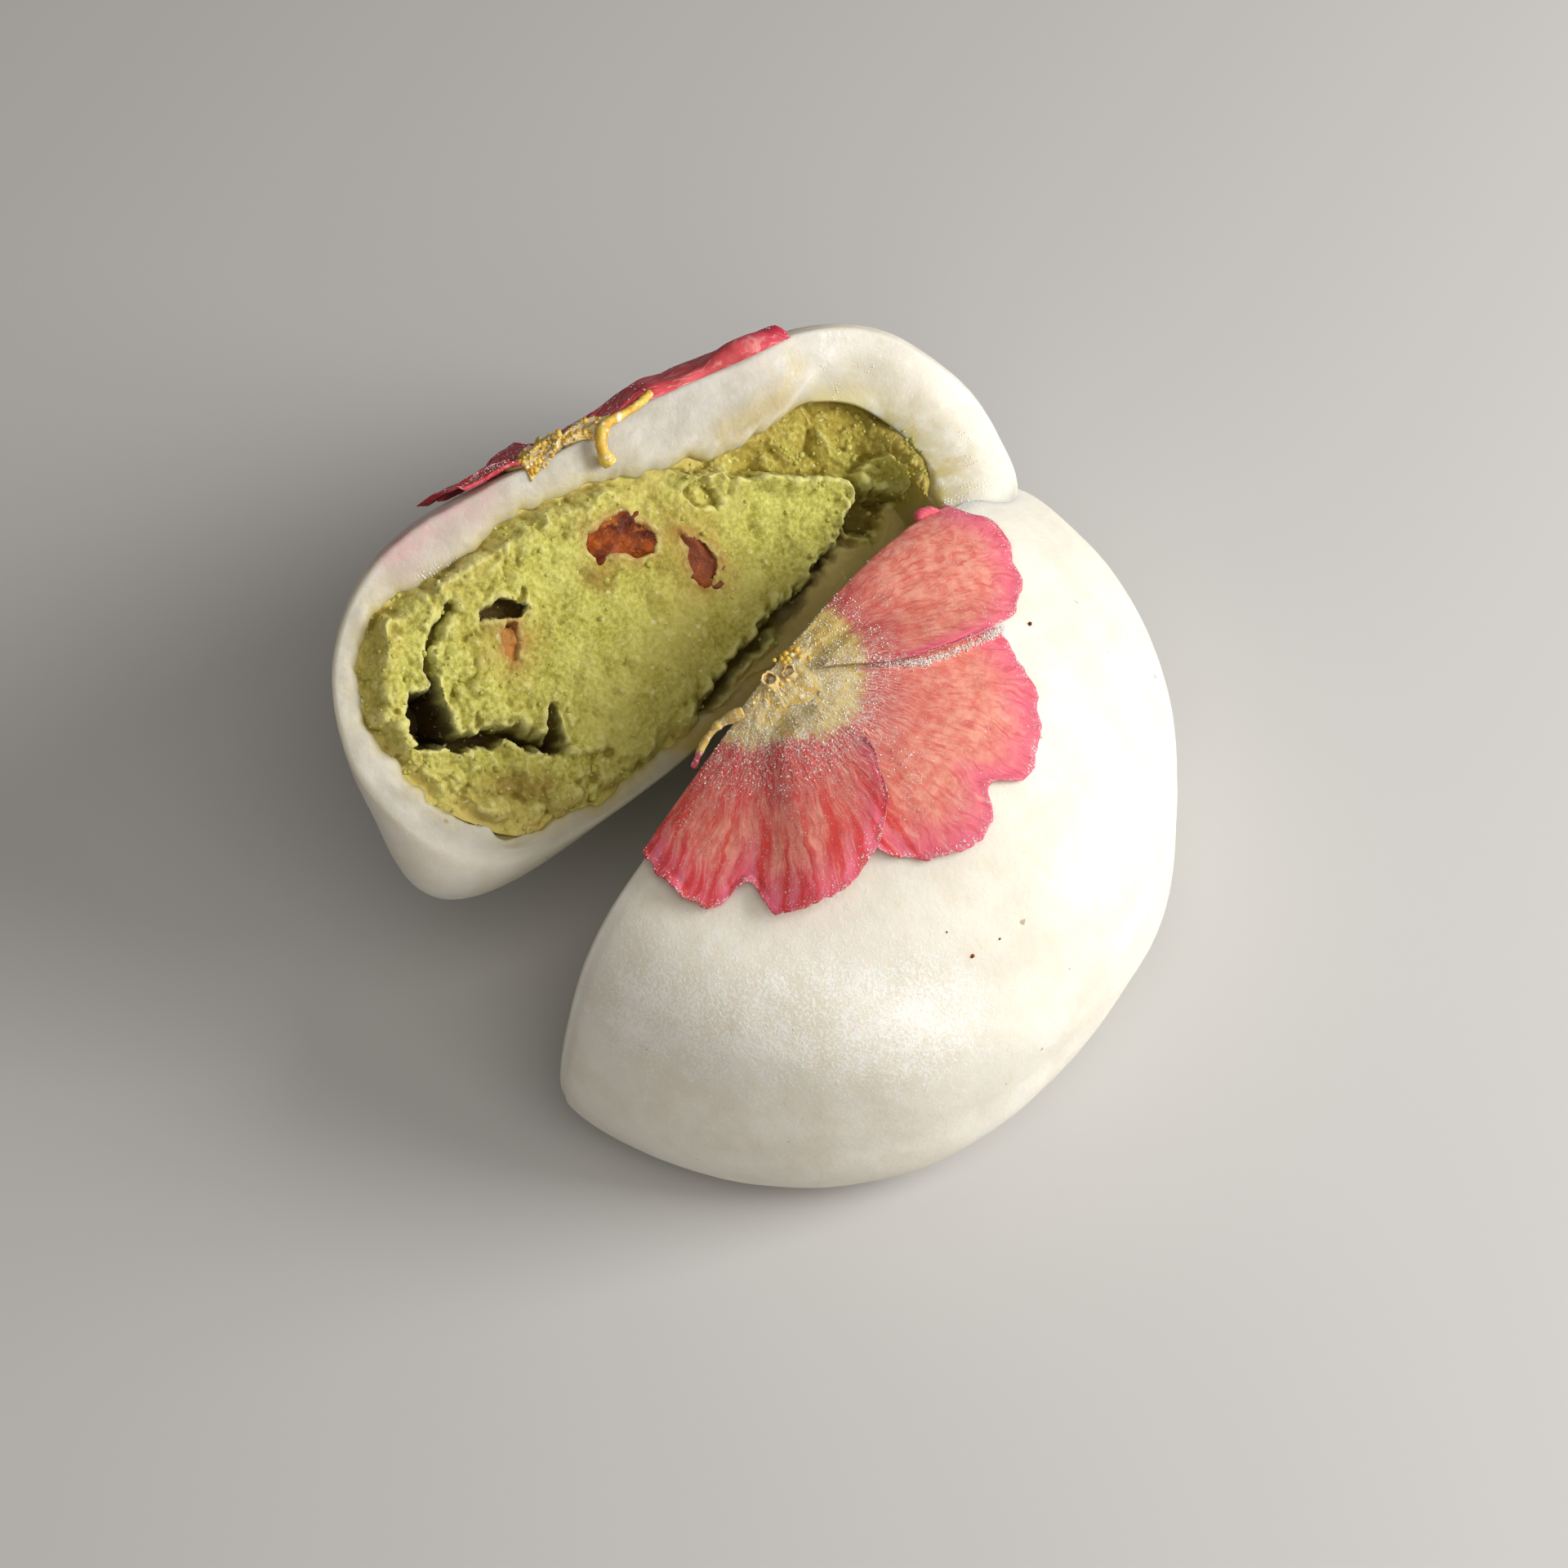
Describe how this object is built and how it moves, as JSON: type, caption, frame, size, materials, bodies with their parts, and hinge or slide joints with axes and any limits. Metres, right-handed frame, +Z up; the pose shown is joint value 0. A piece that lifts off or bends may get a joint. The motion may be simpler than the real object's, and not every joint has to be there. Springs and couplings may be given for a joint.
{
  "type": "flower rice cake",
  "caption": "Stuffed rice dough ball with a pressed primrose on top, cut in two through the flower and opened so its green bean paste filling shows.",
  "frame": {"origin": "centre of the bounding box on the plane of the plate", "axes": "+Z up from the plate; X along the cut, with the end where the halves still hang together at +X; the upright half lies towards -Y with its cut face looking to +Y, the fallen half lies towards +Y"},
  "size_m": [0.0747, 0.0722, 0.037],
  "materials": {
    "rice_dough": "soft, slightly translucent creamy white rice dough with a fine dust of flour",
    "green_paste": "crumbly, moist yellow-green bean paste",
    "brown_nut": "wet red-brown bits of nut",
    "rose_petal": "thin pressed petals, coral in the middle, crimson streaks and a rose rim, dusted with flour",
    "gold_eye": "crumbly gold eye of the flower, dusted with flour"
  },
  "bodies": {
    "root": {"dough": "rice_dough", "filling_back": "green_paste", "filling_front": "green_paste", "bit_back_1": "brown_nut", "bit_back_2": "brown_nut", "bit_back_3": "brown_nut", "bit_front_1": "brown_nut", "bit_front_2": "brown_nut", "petal_front_right": "rose_petal", "petal_front_middle": "rose_petal", "petal_front_left": "rose_petal", "petal_back_right": "rose_petal", "petal_back_inner": "rose_petal", "petal_back_outer": "rose_petal", "petal_back_left": "rose_petal", "eye_front": "gold_eye", "eye_back": "gold_eye", "stamen_front": "gold_eye", "stamen_back": "gold_eye"}
  },
  "joints": []
}
